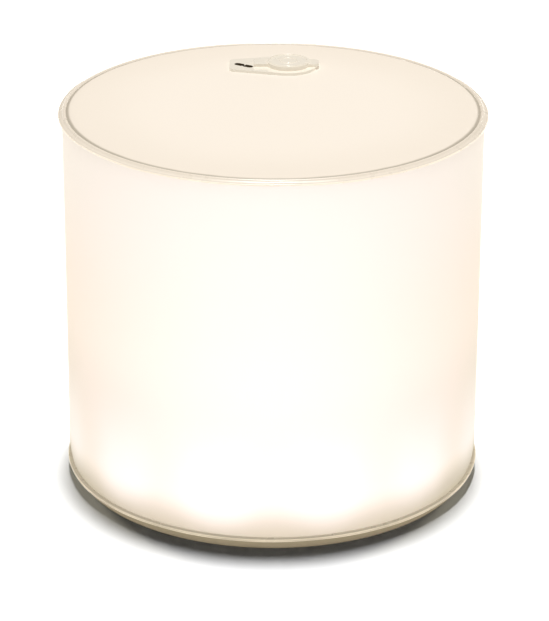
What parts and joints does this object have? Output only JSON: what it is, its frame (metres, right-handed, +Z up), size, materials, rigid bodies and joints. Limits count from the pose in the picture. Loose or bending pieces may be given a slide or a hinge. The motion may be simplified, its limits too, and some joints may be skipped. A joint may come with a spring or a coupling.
{
  "type": "inflatable solar camping lantern",
  "caption": "Inflatable frosted film drum with welded lips and a clear valve on top, lit from below by a round solar light unit.",
  "frame": {"origin": "centre of the flat face that the lantern stands on", "axes": "+Z up, -Y to the front, the side with the two buttons underneath; the valve is towards +Y"},
  "size_m": [0.127, 0.127, 0.1181],
  "materials": {
    "frosted_film": "frosted translucent film",
    "base_film": "frosted translucent film",
    "weld_lip": "clear weld",
    "valve_clear": "clear soft moulding",
    "housing_grey": "fine spark texture",
    "reflector_white": "satin white",
    "button_rubber": "matte",
    "gasket_rubber": "matte",
    "solar_glazing": "clear",
    "silicon": "dark blue, fine grid lines",
    "laminate": "black laminate",
    "screw_steel": "zinc plated",
    "led_board_white": "white solder mask",
    "led_phosphor": "phosphor in a white package",
    "lens_clear": "clear",
    "board_green": "green solder mask",
    "chip_black": "moulded epoxy",
    "ferrite": "pressed ferrite",
    "capacitor_ceramic": "fired",
    "connector_white": "moulded nylon",
    "pin_brass": "plated",
    "cell_foil": "laminated foil",
    "foam": "adhesive foam",
    "wire_red": "smooth insulation",
    "wire_black": "smooth insulation"
  },
  "bodies": {
    "base": {"side_wall": "frosted_film", "bottom_panel": "base_film", "bottom_seam": "weld_lip", "base_tray": "housing_grey", "solar_window": "solar_glazing", "solar_cells": "silicon", "solar_laminate": "laminate", "housing_gasket": "gasket_rubber", "led_board": "led_board_white", "led_packages": "led_phosphor", "led_lenses": "lens_clear", "reflector_cover": "reflector_white", "reflector_sheet": "reflector_white", "housing_screws": "screw_steel", "control_board": "board_green", "board_screws": "screw_steel", "controller_chip": "chip_black", "power_inductor": "ferrite", "capacitors": "capacitor_ceramic", "battery_connector": "connector_white", "board_header_pins": "pin_brass", "battery_pad": "foam", "battery_cell": "cell_foil", "battery_protection_board": "board_green", "battery_lead_black": "wire_black", "battery_lead_red": "wire_red", "panel_lead_black": "wire_black", "panel_lead_red": "wire_red", "level_leds": "led_phosphor", "level_light_pipes": "lens_clear", "power_switch": "chip_black", "level_switch": "chip_black"},
    "top": {"top_panel": "frosted_film", "top_seam": "weld_lip", "valve_body": "valve_clear"},
    "cap": {"valve_cap": "valve_clear"},
    "check_flap": {"valve_flap": "valve_clear"},
    "power_button": {"power_button": "button_rubber", "power_plunger": "chip_black"},
    "level_button": {"level_button": "button_rubber", "level_plunger": "chip_black"}
  },
  "joints": [
    {"name": "collapse", "type": "slide", "parent": "base", "child": "top", "axis": [0, 0, -1], "range_m": [0, 0.0905], "deforming": ["side_wall"]},
    {"name": "cap_hinge", "type": "hinge", "parent": "top", "child": "cap", "pos_m": [-0.0057, 0.037, 0.1173], "axis": [0, -1, 0], "range_deg": [0, 165]},
    {"name": "flap_hinge", "type": "hinge", "parent": "top", "child": "check_flap", "pos_m": [-0.0007, 0.037, 0.1095], "axis": [0, 1, 0], "range_deg": [0, 30], "stiffness_Nm_per_rad": 0.0001, "springref_deg": -11.46},
    {"name": "power_press", "type": "slide", "parent": "base", "child": "power_button", "axis": [0, 0, 1], "range_m": [0, 0.0005], "stiffness_N_per_m": 2000, "springref_m": -0.0003},
    {"name": "level_press", "type": "slide", "parent": "base", "child": "level_button", "axis": [0, 0, 1], "range_m": [0, 0.0005], "stiffness_N_per_m": 2000, "springref_m": -0.0003}
  ]
}
